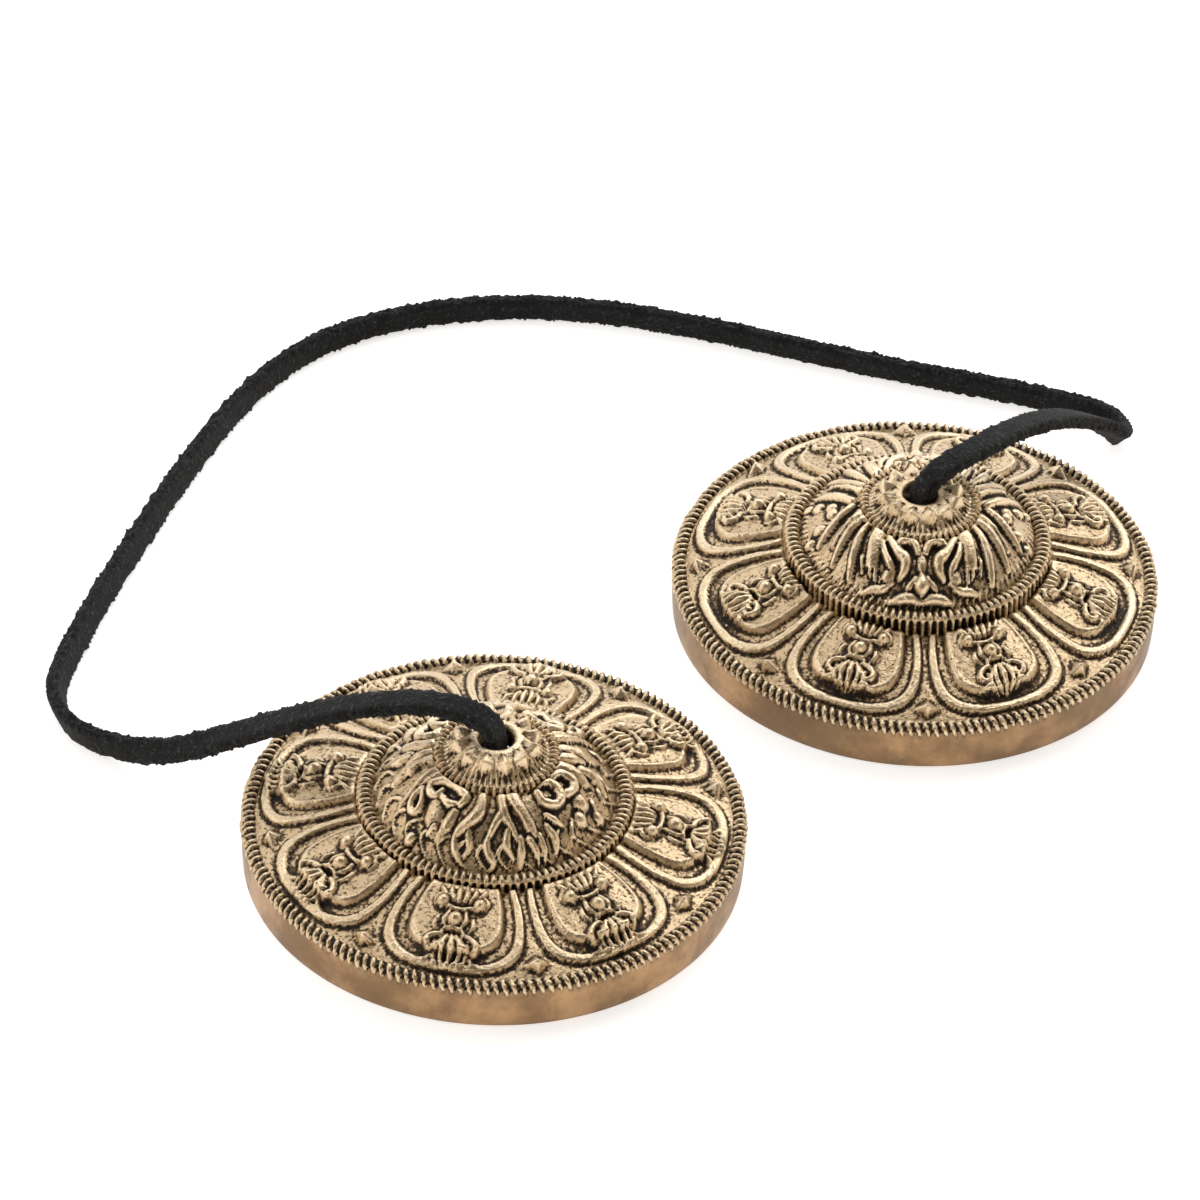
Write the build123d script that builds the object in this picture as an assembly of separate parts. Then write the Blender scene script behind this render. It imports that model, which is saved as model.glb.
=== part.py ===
from build123d import *
import os
from math import atan2, cos, degrees, hypot, pi, radians, sin, tan

os.makedirs("parts", exist_ok=True)

# Cymbal, in millimetres: outer sizes
cymbal_radius = 32.5        # over the roped border
cymbal_height = 20.5        # rest face to the lip of the hole
rim_height = 6.1            # rest face to the middle of the roped border
rim_rope = 0.95             # radius of the roped border's bead
wall_inset = 0.2            # the side wall stands this far inside the bead
edge_bevel = 0.4
land_width = 3.6            # flat ring that the cymbal rests on

# Cymbal: flange and dome
foot_radius = 16.75         # middle of the roped ring at the foot of the dome
foot_height_left = 10.5     # the two cymbals are cast from different patterns
foot_height_right = 12.4
foot_step_left = 0.65       # from the flange up to the middle of that ring
foot_step_right = 1.8
foot_rope = 0.95
flange_edge_lift = 0.2      # the flange starts this far above the middle of the border's bead
flange_crown = 0.3          # how far the flange swells above a straight cone
collar_radius = 7.35        # middle of the small ring near the top of the dome
collar_drop_left = 2.9      # from the lip down to the middle of that ring
collar_drop_right = 2.1
collar_rope = 0.65
dome_swell = 1.15           # how far the dome swells above a straight cone
lip_bevel = 0.6
lip_width = 0.5             # flat of the lip outside its bevel
bead_bite = 0.7             # how deep a bead's middle stands from where the skin meets it, in bead radii

# Cymbal: hollow underside
dome_wall = 3.0
seat_radius = 4.8           # flat seat round the hole that the knot bears on
throat_inset = 3.15         # mouth of the hollow in the dome, inside the ring at its foot
throat_drop = 1.5           # and below the lower of the two cymbals' rings
hollow_swell = 1.2          # how far the hollow of the dome swells above a straight cone
flange_hollow = 1.3         # and how far the hollow of the flange does

# Raised ornament of the flange
petal_count = 8
petal_turn_left = -54.0     # direction of a petal's middle on each cymbal, degrees
petal_turn_right = -64.0
petal_margin = 0.35         # bare metal between a petal and the two roped rings
petal_gap_angle = 0.9       # degrees between neighbouring petals, on each side
petal_foot_angle = 17.0     # half width of a petal at its foot, degrees
petal_shoulder_angle = 15.5
petal_shoulder_drop = 2.3   # the shoulder lies this far inside the tip
petal_ridge = 0.85          # width of a raised outline
petal_step = 0.75           # bare metal between the two outlines
relief_height = 0.5
relief_root = 0.6           # how deep the ornament is let into the flange
ball_radius = 2.3           # ball in the middle of a petal's motif
ball_stand = 0.9            # how far the motif's balls stand out
curl_radius = 1.6           # the two curls on the dome's side of the ball
curl_spread = 2.7
curl_step_left = 4.05       # from the ring at the dome's foot out to the curls
curl_step_right = 3.05
ball_step = 2.4             # from the curls out to the ball
bud_radius = 1.8            # bud on the rim's side of the ball
bud_step = 5.9              # from the curls out to the bud
stud_radius = 1.35          # three-cornered stud between two petal tips

# Raised ornament of the dome. A stroke is its two ends, the bow of its middle line and its half width.
# An end is a radius and an angle from the middle of the ornament's repeat.
dome_relief = 1.0           # how far the strokes stand above the dome, measured upright
dome_repeats = 2
flame_turn = -74.0          # middle of a repeat, from the middle of a petal, degrees
flame_strokes = [
    ((8.3, 0.5), (12.9, 8.0), -0.35, 0.7),
    ((10.2, -1.0), (13.2, -9.0), 0.2, 0.5),
    ((8.3, 10.0), (13.0, 19.0), -0.3, 0.95),
    ((8.3, -14.5), (13.3, -27.0), -0.45, 0.95),
    ((8.2, -71.0), (13.6, -67.0), 0.2, 0.6),
    ((10.6, -62.0), (13.0, -56.5), 0.1, 0.85),
    ((8.5, -47.0), (9.1, -29.0), 0.25, 0.75),
    ((10.6, -47.0), (13.7, -40.0), 0.15, 1.2),
    ((11.0, -33.0), (13.9, -36.0), 0.1, 0.85),
    ((8.2, -86.0), (13.0, -84.0), 0.15, 1.05),
    ((11.2, 30.0), (13.2, 36.0), 0.1, 0.5),
    ((12.5, 27.0), (15.0, 27.5), 0.3, 0.55),
    ((8.3, 73.0), (12.8, 68.0), 0.3, 0.95),
    ((11.0, 81.0), (14.3, 76.0), 0.2, 0.85),
    ((13.2, -8.0), (15.4, -5.5), 0.1, 0.5),
    ((13.0, 10.0), (15.3, 8.0), 0.1, 0.5),
    ((13.2, -26.5), (15.2, -20.0), 0.2, 0.55),
]
flame_curls = [(9.5, 40.0), (9.7, 57.0), (9.3, -55.0)]
flame_knobs = [(12.3, 56.0), (13.6, 48.0)]
leaf_turn = -69.0
leaf_strokes = [
    ((8.4, 31.0), (12.7, 12.5), 0.9, 0.85),
    ((9.2, 33.0), (12.4, 18.0), 0.2, 0.6),
    ((14.7, 2.0), (15.2, 15.0), 0.25, 0.5),
    ((8.2, 43.0), (13.8, 24.5), -0.35, 1.2),
    ((8.2, 57.0), (14.5, 40.0), -0.25, 0.65),
    ((8.2, 66.0), (14.4, 54.0), -0.2, 0.7),
    ((8.3, 74.0), (12.8, 62.5), 0.15, 0.6),
    ((9.0, 85.0), (14.2, 70.0), 0.25, 0.65),
]
leaf_curls = [(8.95, 12.0)]
leaf_knobs = [(12.9, 20.0), (13.5, 80.0)]
leaf_bud = ((12.4, 0.0), (14.5, 0.0), 0.1, 1.0)     # on the middle of the repeat
leaf_stem = ((8.2, 0.0), (12.2, 0.0), 0.1, 0.5)
curl_outer = 1.5            # ring of a curl
curl_inner = 0.55
knob_radius = 1.0
crown_beads = 12            # pointed beads round the lip, as balls
crown_place = 4.6
crown_ball = 1.15
crown_stand = 0.6

# Pair and leather lace
cymbal_gap = 11.0           # between the two cymbals' borders
lace_size = 3.4             # width of the lace, as a round tube
hole_clearance = 0.5        # round the lace in the hole
table_clearance = 0.05      # under the lace where it lies
knot_clearance = 0.3        # between a knot and its seat
knot_radius = 4.4
knot_height = 6.6
knot_round = 2.2
tail_length = 3.0           # end of the lace beyond the knot
tail_lift = 0.4             # above the underside of the knot
arc_share = 0.45            # share of the shorter run that an arc takes
left_share = 0.5            # share of the run where an end of the lace meets the loop, on its side
right_share = 0.33

# Worked out from the above
hole_radius = lace_size / 2 + hole_clearance
wall_radius = cymbal_radius - wall_inset
rim_middle = cymbal_radius - rim_rope
land_inner = wall_radius - edge_bevel - land_width
seat_height = cymbal_height - dome_wall
throat_radius = foot_radius - throat_inset
throat_height = min(foot_height_left, foot_height_right) - throat_drop
spacing = 2 * cymbal_radius + cymbal_gap
lace_height = lace_size / 2 + table_clearance
knot_top = seat_height - knot_clearance
left_x = -spacing / 2
right_x = spacing / 2


def between(start, end, rise):
    """Middle of two points of a profile, lifted by rise."""
    return ((start[0] + end[0]) / 2, (start[1] + end[1]) / 2 + rise)


class Skin:
    """Upper skin of one cymbal: points as radius and height, and where its petals' motifs lie."""

    def __init__(self, foot_height, foot_step, collar_drop, curl_step):
        foot_bite = bead_bite * foot_rope
        collar_bite = bead_bite * collar_rope
        collar_height = cymbal_height - collar_drop
        self.foot_height = foot_height
        self.collar_height = collar_height
        self.curl_place = foot_radius + curl_step
        self.flange_out = (rim_middle - bead_bite * rim_rope, rim_height + flange_edge_lift)
        self.flange_in = (foot_radius + foot_bite, foot_height - foot_step)
        self.plinth = (foot_radius + foot_bite, foot_height)
        self.dome_out = (foot_radius - foot_bite, foot_height + foot_bite / 2)
        self.dome_in = (collar_radius + collar_bite, collar_height - collar_bite / 2)
        self.crown_out = (collar_radius - collar_bite, collar_height + collar_bite / 2)
        self.crown_in = (hole_radius + lip_bevel + lip_width, cymbal_height)
        self.lip = (hole_radius + lip_bevel, cymbal_height)

    def dome(self, rise):
        """Upper skin of the dome, outside to inside, lifted by rise."""
        start = (self.dome_out[0], self.dome_out[1] + rise)
        end = (self.dome_in[0], self.dome_in[1] + rise)
        return ThreePointArc(start, between(start, end, dome_swell), end)

    def crown_height(self, radius):
        """Height of the crown's skin at a radius, on its straight cone."""
        share = (self.crown_out[0] - radius) / (self.crown_out[0] - self.crown_in[0])
        return self.crown_out[1] + share * (self.crown_in[1] - self.crown_out[1])

    def flange(self, rise):
        """Upper skin of the flange, outside to inside, lifted by rise."""
        start = (self.flange_out[0], self.flange_out[1] + rise)
        end = (self.flange_in[0], self.flange_in[1] + rise)
        return ThreePointArc(start, between(start, end, flange_crown), end)

    def flange_height(self, radius):
        """Height of the flange's upper skin at a radius, on its straight cone."""
        share = (self.flange_out[0] - radius) / (self.flange_out[0] - self.flange_in[0])
        return self.flange_out[1] + share * (self.flange_in[1] - self.flange_out[1])


def revolved(edges):
    """Solid of revolution about Z of a closed profile."""
    return revolve(Plane.XZ * make_face(edges), Axis.Z)


def rope_bead(radius, height, size):
    """Half-round ring that stands for a roped border."""
    return revolve(Plane.XZ * Pos(radius, height) * Circle(size), Axis.Z)


def cymbal_blank(skin):
    """Plain cymbal: wall, flange, dome, lip, hole and hollow underside."""
    seat_out = (seat_radius, seat_height)
    throat = (throat_radius, throat_height)
    land = (land_inner, 0)
    hole_top = (hole_radius, cymbal_height - lip_bevel)
    corners = [land, (wall_radius - edge_bevel, 0), (wall_radius, edge_bevel),
               (wall_radius, rim_height), skin.flange_out]
    edges = [Line(a, b) for a, b in zip(corners, corners[1:])]
    edges.append(skin.flange(0))
    edges.append(Line(skin.flange_in, skin.plinth))
    edges.append(Line(skin.plinth, skin.dome_out))
    edges.append(skin.dome(0))
    edges.append(Line(skin.dome_in, skin.crown_out))
    crown_middle = between(skin.crown_out, skin.crown_in, collar_rope / 2)
    edges.append(ThreePointArc(skin.crown_out, crown_middle, skin.crown_in))
    corners = [skin.crown_in, skin.lip, hole_top, (hole_radius, seat_height), seat_out]
    edges += [Line(a, b) for a, b in zip(corners, corners[1:])]
    edges.append(ThreePointArc(seat_out, between(seat_out, throat, hollow_swell), throat))
    edges.append(ThreePointArc(throat, between(throat, land, flange_hollow), land))
    return revolved(edges)


def polar(radius, angle):
    """Point of the plan at a radius and an angle in degrees."""
    return (radius * cos(radians(angle)), radius * sin(radians(angle)))


def petal_face():
    """Plan of one lotus petal, its middle along +X."""
    foot = foot_radius + foot_rope + petal_margin
    tip = rim_middle - rim_rope - petal_margin
    belly = (foot + tip) / 2
    belly_angle = 180 / petal_count - petal_gap_angle
    shoulder = tip - petal_shoulder_drop
    right = [polar(foot, -petal_foot_angle), polar(belly, -belly_angle),
             polar(shoulder, -petal_shoulder_angle)]
    left = [(x, -y) for x, y in reversed(right)]
    point = (tip, 0)
    half = (tip - petal_shoulder_drop / 4, polar(shoulder, petal_shoulder_angle)[1] / 2)
    edges = [ThreePointArc(*right), ThreePointArc(right[2], (half[0], -half[1]), point),
             ThreePointArc(point, half, left[0]), ThreePointArc(*left), Line(left[2], right[0])]
    return make_face(edges)


def stud_face():
    """Plan of the three-cornered stud between two petal tips."""
    place = rim_middle - rim_rope - petal_margin - stud_radius
    corners = [polar(stud_radius, 180 + 120 * k) for k in range(3)]
    stud = make_face([Line(corners[k], corners[(k + 1) % 3]) for k in range(3)])
    return Rot(Z=180 / petal_count) * Pos(place, 0) * stud


def layer(skin_at, height):
    """Layer of metal over the flange or the dome, from the root of the ornament up to a height."""
    low = skin_at(-relief_root)
    high = skin_at(height)
    return revolved([low, Line(low @ 1, high @ 1), high, Line(high @ 0, low @ 0)])


def ball(skin, radius, place, side):
    """Ball of a petal's motif, let into the flange."""
    sink = radius - ball_stand
    return Pos(place, side, skin.flange_height(hypot(place, side)) - sink) * Sphere(radius)


def flange_ornament(skin):
    """Raised outlines, stud and motif balls of one petal's share of the flange."""
    outer = petal_face()
    inner = offset(outer, -petal_ridge - petal_step)
    plan = [outer - offset(outer, -petal_ridge), inner - offset(inner, -petal_ridge), stud_face()]
    thin_layer = layer(skin.flange, relief_height)
    raised = [extrude(face, cymbal_height) & thin_layer for face in plan]
    balls = [ball(skin, curl_radius, skin.curl_place, side) for side in (curl_spread, -curl_spread)]
    balls.append(ball(skin, ball_radius, skin.curl_place + ball_step, 0))
    balls.append(ball(skin, bud_radius, skin.curl_place + bud_step, 0))
    deep_layer = layer(skin.flange, 2 * ball_stand)
    return raised + [each & deep_layer for each in balls]


def stroke_face(start, end, bow, half):
    """Plan of a pointed stroke of the dome's ornament, between two arcs."""
    first, last = Vector(*polar(*start)), Vector(*polar(*end))
    along = (last - first).normalized()
    side = Vector(-along.Y, along.X)
    middle = (first + last) / 2
    return make_face([ThreePointArc(first, middle + side * (bow + half), last),
                      ThreePointArc(last, middle + side * (bow - half), first)])


def curl_face(radius, angle):
    """Plan of a ring-shaped curl."""
    return Pos(*polar(radius, angle)) * (Circle(curl_outer) - Circle(curl_inner))


def knob_face(radius, angle):
    """Plan of a round knob."""
    return Pos(*polar(radius, angle)) * Circle(knob_radius)


def flame_plan():
    """Left cymbal's ornament of the dome, one repeat in plan."""
    plan = [stroke_face(*stroke) for stroke in flame_strokes]
    plan += [curl_face(*place) for place in flame_curls]
    return plan + [knob_face(*place) for place in flame_knobs]


def leaf_plan():
    """Right cymbal's ornament of the dome, one repeat in plan, alike on both sides of its middle."""
    half = [stroke_face(*stroke) for stroke in leaf_strokes]
    half += [curl_face(*place) for place in leaf_curls]
    half += [knob_face(*place) for place in leaf_knobs]
    return half + [mirror(face, Plane.XZ) for face in half] + [stroke_face(*leaf_bud), stroke_face(*leaf_stem)]


def dome_ornament(skin, plan, turn):
    """Raised strokes of the dome and beads of the crown."""
    cover = layer(skin.dome, dome_relief)
    raised = [extrude(face, cymbal_height) & cover for face in plan]
    turns = [Rot(Z=turn + 360 * k / dome_repeats) for k in range(dome_repeats)]
    bead = Pos(crown_place, 0, skin.crown_height(crown_place) + crown_stand - crown_ball) * Sphere(crown_ball)
    beads = [Rot(Z=360 * k / crown_beads) * bead for k in range(crown_beads)]
    return [each * piece for each in turns for piece in raised] + beads


def cymbal(skin, plan, turn):
    """One cymbal on the Z axis, a petal's middle along +X."""
    body = cymbal_blank(skin)
    body += rope_bead(rim_middle, rim_height, rim_rope)
    body += rope_bead(foot_radius, skin.foot_height, foot_rope)
    body += rope_bead(collar_radius, skin.collar_height, collar_rope)
    pieces = flange_ornament(skin)
    turns = [Rot(Z=360 * k / petal_count) for k in range(petal_count)]
    return body + [each * piece for each in turns for piece in pieces] + dome_ornament(skin, plan, turn)


def knot():
    """Stopper knot under the seat, with the short end of the lace, on the Z axis."""
    barrel = Cylinder(knot_radius, knot_height, align=(Align.CENTER, Align.CENTER, Align.MAX))
    barrel = fillet(barrel.edges().filter_by(GeomType.CIRCLE), knot_round)
    tail = Rot(Y=90) * extrude(Circle(lace_size / 2), knot_radius + tail_length)
    tail = Pos(0, 0, lace_size / 2 + tail_lift - knot_height) * tail
    return Pos(0, 0, knot_top) * (barrel + tail)


def lace_path(points):
    """Straight runs joined by the largest tangent arcs that they allow."""
    runs = [Vector(b) - Vector(a) for a, b in zip(points, points[1:])]
    radii = []
    for before, after in zip(runs, runs[1:]):
        turn = radians(before.get_angle(after))
        radii.append(arc_share * min(before.length, after.length) / tan(turn / 2))
    print("arc radii", [round(radius, 1) for radius in radii])
    return FilletPolyline(*points, radius=radii)


def lace(points):
    """Round tube along a stretch of the lace."""
    path = lace_path(points)
    tube = sweep(Plane(path @ 0, z_dir=path % 0) * Circle(lace_size / 2), path=path)
    print("length", round(path.length, 1), "volume over section times length",
          round(tube.volume / (path.length * pi * lace_size ** 2 / 4), 4))
    return tube


# Route of the lace. Each point is measured from the middle of the cymbal that it is nearer to.
def by_left(x, y, z=lace_height):
    return (left_x + x, y, z)


def by_right(x, y, z=lace_height):
    return (right_x + x, y, z)


def arch_height(share):
    """Height at a share of the lace's drop from the lip to where it lies."""
    return lace_height + share * (cymbal_height - lace_height)


left_arch = [
    by_left(0, 0, knot_top),
    by_left(0, 0, cymbal_height),
    by_left(-0.9, 1.9, cymbal_height + 2.8),
    by_left(-4.4, 8.6, cymbal_height + 2.9),
    by_left(-8.8, 16.4, cymbal_height - 0.5),
    by_left(-13.2, 23.9, arch_height(0.728)),
    by_left(-17.2, 30.6, arch_height(0.4613)),
    by_left(-20.3, 36.1, arch_height(0.248)),
    by_left(-22.9, 41.2, arch_height(0.088)),
]
loop = [
    by_left(-26.3, 50.3),
    by_left(-25.8, 56.3),
    by_left(-22.7, 61.4),
    by_left(-15.9, 65.9),
    by_left(-5.0, 72.3),
    by_left(9.6, 79.9),
    by_left(24.6, 87.2),
    by_left(39.0, 92.8),
    by_right(-24.4, 94.6),
    by_right(-11.8, 91.8),
    by_right(0.2, 85.0),
    by_right(11.0, 74.8),
    by_right(19.6, 62.0),
    by_right(26.8, 49.2),
    by_right(34.0, 36.6),
    by_right(41.6, 25.0),
    by_right(46.6, 16.2),
    by_right(48.8, 10.4),
    by_right(46.9, 5.9),
]
right_arch = [
    by_right(0, 0, knot_top),
    by_right(0, 0, cymbal_height),
    by_right(2.2, -0.6, cymbal_height + 2.8),
    by_right(9.8, -0.8, cymbal_height + 3.1),
    by_right(19.2, 0.6, cymbal_height + 0.8),
    by_right(28.5, 2.5, arch_height(0.8133)),
    by_right(37.0, 4.3, arch_height(0.4933)),
    by_right(41.9, 5.3, arch_height(0.2747)),
]


def part_way(first, second, share):
    """Point on a run, where one stretch of lace meets the next."""
    return tuple(a + share * (b - a) for a, b in zip(first, second))


left_meeting = part_way(left_arch[-1], loop[0], left_share)
right_meeting = part_way(right_arch[-1], loop[-1], right_share)

left_skin = Skin(foot_height_left, foot_step_left, collar_drop_left, curl_step_left)
right_skin = Skin(foot_height_right, foot_step_right, collar_drop_right, curl_step_right)
stopper = knot()
pieces = {
    "cymbal_left": Pos(left_x, 0) * Rot(Z=petal_turn_left) * cymbal(left_skin, flame_plan(), flame_turn),
    "cymbal_right": Pos(right_x, 0) * Rot(Z=petal_turn_right) * cymbal(right_skin, leaf_plan(), leaf_turn),
    "lace_loop": lace([left_meeting] + loop + [right_meeting]),
    "lace_end_left": lace(left_arch + [left_meeting]),
    "lace_end_right": lace(right_arch + [right_meeting]),
    "knot_left": Pos(left_x, 0) * stopper,
    "knot_right": Pos(right_x, 0) * stopper,
}

for name, piece in pieces.items():
    export_step(piece, f"parts/{name}.step")

for side, first, second in (("left", left_arch[-1], left_meeting), ("right", right_arch[-1], right_meeting)):
    heading = Vector(second) - Vector(first)
    slope = atan2(heading.Z, hypot(heading.X, heading.Y))
    flat = Vector(heading.X, heading.Y, 0).normalized()
    top = Vector(second) + (flat * -sin(slope) + Vector(0, 0, cos(slope))) * (lace_size / 2)
    print(side, "lift axis through", top, "across heading", flat, "slope", round(degrees(slope), 1))
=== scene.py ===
import math
import bpy
import numpy as np
from mathutils import Matrix, Vector


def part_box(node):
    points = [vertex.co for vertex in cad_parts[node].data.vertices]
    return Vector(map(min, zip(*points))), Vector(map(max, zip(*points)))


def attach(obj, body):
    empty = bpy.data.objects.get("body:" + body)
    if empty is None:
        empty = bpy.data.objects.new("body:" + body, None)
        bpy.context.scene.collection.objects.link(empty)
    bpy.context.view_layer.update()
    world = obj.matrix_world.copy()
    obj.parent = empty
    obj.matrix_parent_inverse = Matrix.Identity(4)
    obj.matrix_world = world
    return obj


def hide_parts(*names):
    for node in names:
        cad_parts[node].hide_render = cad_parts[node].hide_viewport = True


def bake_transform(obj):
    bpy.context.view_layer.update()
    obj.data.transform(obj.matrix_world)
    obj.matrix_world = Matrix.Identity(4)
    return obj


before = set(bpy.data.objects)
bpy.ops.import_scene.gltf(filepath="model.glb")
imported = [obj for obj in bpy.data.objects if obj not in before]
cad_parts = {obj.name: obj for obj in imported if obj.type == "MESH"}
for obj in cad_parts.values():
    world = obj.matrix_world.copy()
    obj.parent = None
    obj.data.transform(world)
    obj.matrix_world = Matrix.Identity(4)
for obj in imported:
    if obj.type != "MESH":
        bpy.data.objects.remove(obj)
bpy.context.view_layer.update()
mm = 0.001  # the sizes below are in millimetres, and meshes are made in metres
print("frame loaded:", ", ".join(sorted(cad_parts)))


# Camera, at the photograph's place
photoView = {
    "place": (-527.183, -521.502, 639.495),
    "target": (7.533, 28.993, 0.0),
    "roll": 2.293,  # degrees
    "fieldOfView": 9.244,  # degrees
}


def addCamera(view):
    data = bpy.data.cameras.new("photoCamera")
    data.angle = math.radians(view["fieldOfView"])
    camera = bpy.data.objects.new("photoCamera", data)
    place, target = Vector(view["place"]), Vector(view["target"])
    back = (place - target).normalized()
    right = Vector((0, 0, 1)).cross(back).normalized()
    up = back.cross(right)
    roll = math.radians(view["roll"])
    tiltedRight = right * math.cos(roll) + up * math.sin(roll)
    tiltedUp = up * math.cos(roll) - right * math.sin(roll)
    turn = Matrix((tiltedRight, tiltedUp, back)).transposed()
    camera.matrix_world = Matrix.Translation(place * mm) @ turn.to_4x4()
    bpy.context.scene.collection.objects.link(camera)
    bpy.context.scene.camera = camera


addCamera(photoView)
print("camera placed")


# Node helpers for materials

def addNode(tree, kind, **values):
    made = tree.nodes.new(kind)
    for name, value in values.items():
        setattr(made, name, value)
    return made


def feed(tree, target, value):
    if isinstance(value, bpy.types.NodeSocket):
        tree.links.new(value, target)
    else:
        target.default_value = value


def blendColour(tree, amount, first, second, kind="MIX"):
    made = addNode(tree, "ShaderNodeMix", data_type="RGBA", blend_type=kind)
    feed(tree, made.inputs[0], amount)
    feed(tree, made.inputs[6], first)
    feed(tree, made.inputs[7], second)
    return made.outputs[2]


def calc(tree, kind, first, second=0.0, third=0.0):
    made = addNode(tree, "ShaderNodeMath", operation=kind)
    for socket, value in zip(made.inputs, (first, second, third)):
        feed(tree, socket, value)
    return made.outputs[0]


def spread(tree, value, low, high, toLow=0.0, toHigh=1.0):
    made = addNode(tree, "ShaderNodeMapRange", interpolation_type="SMOOTHSTEP")
    for socket, number in zip(made.inputs, (value, low, high, toLow, toHigh)):
        feed(tree, socket, number)
    return made.outputs[0]


def noise(tree, where, scale, detail=4.0, rough=0.55):
    made = addNode(tree, "ShaderNodeTexNoise")
    feed(tree, made.inputs["Vector"], where)
    made.inputs["Scale"].default_value = scale
    made.inputs["Detail"].default_value = detail
    made.inputs["Roughness"].default_value = rough
    return made.outputs[0]


def newGroup(name, inputs, outputs):
    group = bpy.data.node_groups.new(name, "ShaderNodeTree")
    for label, value in inputs.items():
        kind = "NodeSocketColor" if isinstance(value, tuple) else "NodeSocketFloat"
        socket = group.interface.new_socket(label, in_out="INPUT", socket_type=kind)
        socket.default_value = value
    for label, kind in outputs.items():
        group.interface.new_socket(label, in_out="OUTPUT", socket_type=kind)
    return group, group.nodes.new("NodeGroupInput").outputs, group.nodes.new("NodeGroupOutput").inputs


def newMaterial(name):
    material = bpy.data.materials.new(name)
    material.use_nodes = True
    return material, material.node_tree, material.node_tree.nodes["Principled BSDF"]


def placeGroup(tree, group, **values):
    made = addNode(tree, "ShaderNodeGroup", node_tree=group)
    for label, value in values.items():
        feed(tree, made.inputs[label], value)
    return made.outputs


def bumpFrom(tree, height, strength, distance):
    made = addNode(tree, "ShaderNodeBump")
    made.inputs["Strength"].default_value = strength
    made.inputs["Distance"].default_value = distance
    feed(tree, made.inputs["Height"], height)
    return made.outputs[0]


# Aged cast bronze: pale where it is rubbed, with painted highlight; dark in the hollows, with patina and
# painted shade
bronzeTones = {
    # hollow and shade tones: dark patina and painted shade in hollows; the pale tone: rubbed metal and
    # painted highlight
    "hollow": (0.012, 0.008, 0.005, 1),
    "shade": (0.130, 0.086, 0.047, 1),
    "body": (0.570, 0.430, 0.268, 1),
    "paler": (0.850, 0.705, 0.495, 1),
}
bronzeGrain = {
    "clouds": (110, 5, 0.6),  # scale, detail and roughness of a noise
    "flecks": (2200, 3, 0.65),
    "pits": (3600, 2, 0.6),
    "mottle": (0.25, -0.12),  # gain and offset
    "speckle": (2.6, -1.3),
    "clearedByWearAndHighlight": -0.3,  # darkening (patina and painted shade) taken off by rubbing and painted highlight
    "shineSpeckle": 0.8,
    "shiny": (0.1, 0.9),
    # ranges that mix in the shade and hollow tones: patina and painted shade
    "stained": (0.02, 0.42),
    "cakedAndShaded": (0.38, 0.9),
    "roughness": (0.26, 0.66),
    "fleckRoughness": 0.12,
    "metal": (1.0, 0.25),
    "bump": (0.8, 0.00022),  # strength and height in metres
}


def castBronzeGroup():
    grain, tones = bronzeGrain, bronzeTones
    inputs = {"Depth": 0.0, "Rub": 0.0, "Age": 1.0, "Grain": 1.0}
    outputs = {"Color": "NodeSocketColor", "Roughness": "NodeSocketFloat",
               "Metal": "NodeSocketFloat", "Height": "NodeSocketFloat"}
    group, given, result = newGroup("castBronze", inputs, outputs)
    where = addNode(group, "ShaderNodeTexCoord").outputs["Object"]
    cloud = noise(group, where, *grain["clouds"])
    fleck = noise(group, where, *grain["flecks"])
    pits = noise(group, where, *grain["pits"])
    mottle = calc(group, "MULTIPLY_ADD", cloud, *grain["mottle"])
    speck = calc(group, "MULTIPLY_ADD", fleck, *grain["speckle"])
    # darkening: patina and painted shade from the depth value, plus random mottle and speckle
    soilAndShade = calc(group, "ADD", calc(group, "MULTIPLY", given["Depth"], given["Age"]),
                calc(group, "MULTIPLY", calc(group, "ADD", mottle, speck), given["Age"]))
    soilAndShade = calc(group, "MULTIPLY_ADD", given["Rub"], grain["clearedByWearAndHighlight"], soilAndShade)
    shine = calc(group, "MULTIPLY_ADD", speck, grain["shineSpeckle"], given["Rub"])
    # the pale tone marks rubbed wear and painted highlight; the shade and hollow tones mark patina and
    # painted shade
    toned = blendColour(group, spread(group, shine, *grain["shiny"]), tones["body"], tones["paler"])
    toned = blendColour(group, spread(group, soilAndShade, *grain["stained"]), toned, tones["shade"])
    toned = blendColour(group, spread(group, soilAndShade, *grain["cakedAndShaded"]), toned, tones["hollow"])
    feed(group, result["Color"], toned)
    rough = spread(group, soilAndShade, 0.0, 0.8, *grain["roughness"])
    feed(group, result["Roughness"], calc(group, "MULTIPLY_ADD", fleck, grain["fleckRoughness"], rough))
    feed(group, result["Metal"], spread(group, soilAndShade, 0.3, 0.9, *grain["metal"]))
    height = calc(group, "ADD", calc(group, "MULTIPLY", fleck, 0.6), calc(group, "MULTIPLY", pits, 0.4))
    feed(group, result["Height"], calc(group, "MULTIPLY", height, given["Grain"]))
    return group


castBronze = castBronzeGroup()


def surfaceValue(tree, name):
    return addNode(tree, "ShaderNodeAttribute", attribute_name=name).outputs["Fac"]


def reliefBronze():
    material, tree, shader = newMaterial("bronzeRelief")
    # the two vertex values bring patina with painted shade, and rubbed wear with painted highlight
    made = placeGroup(tree, castBronze, Depth=surfaceValue(tree, "depth"), Rub=surfaceValue(tree, "wearAndHighlight"))
    feed(tree, shader.inputs["Base Color"], made["Color"])
    feed(tree, shader.inputs["Roughness"], made["Roughness"])
    feed(tree, shader.inputs["Metallic"], made["Metal"])
    feed(tree, shader.inputs["Normal"], bumpFrom(tree, made["Height"], *bronzeGrain["bump"]))
    return material


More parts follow.
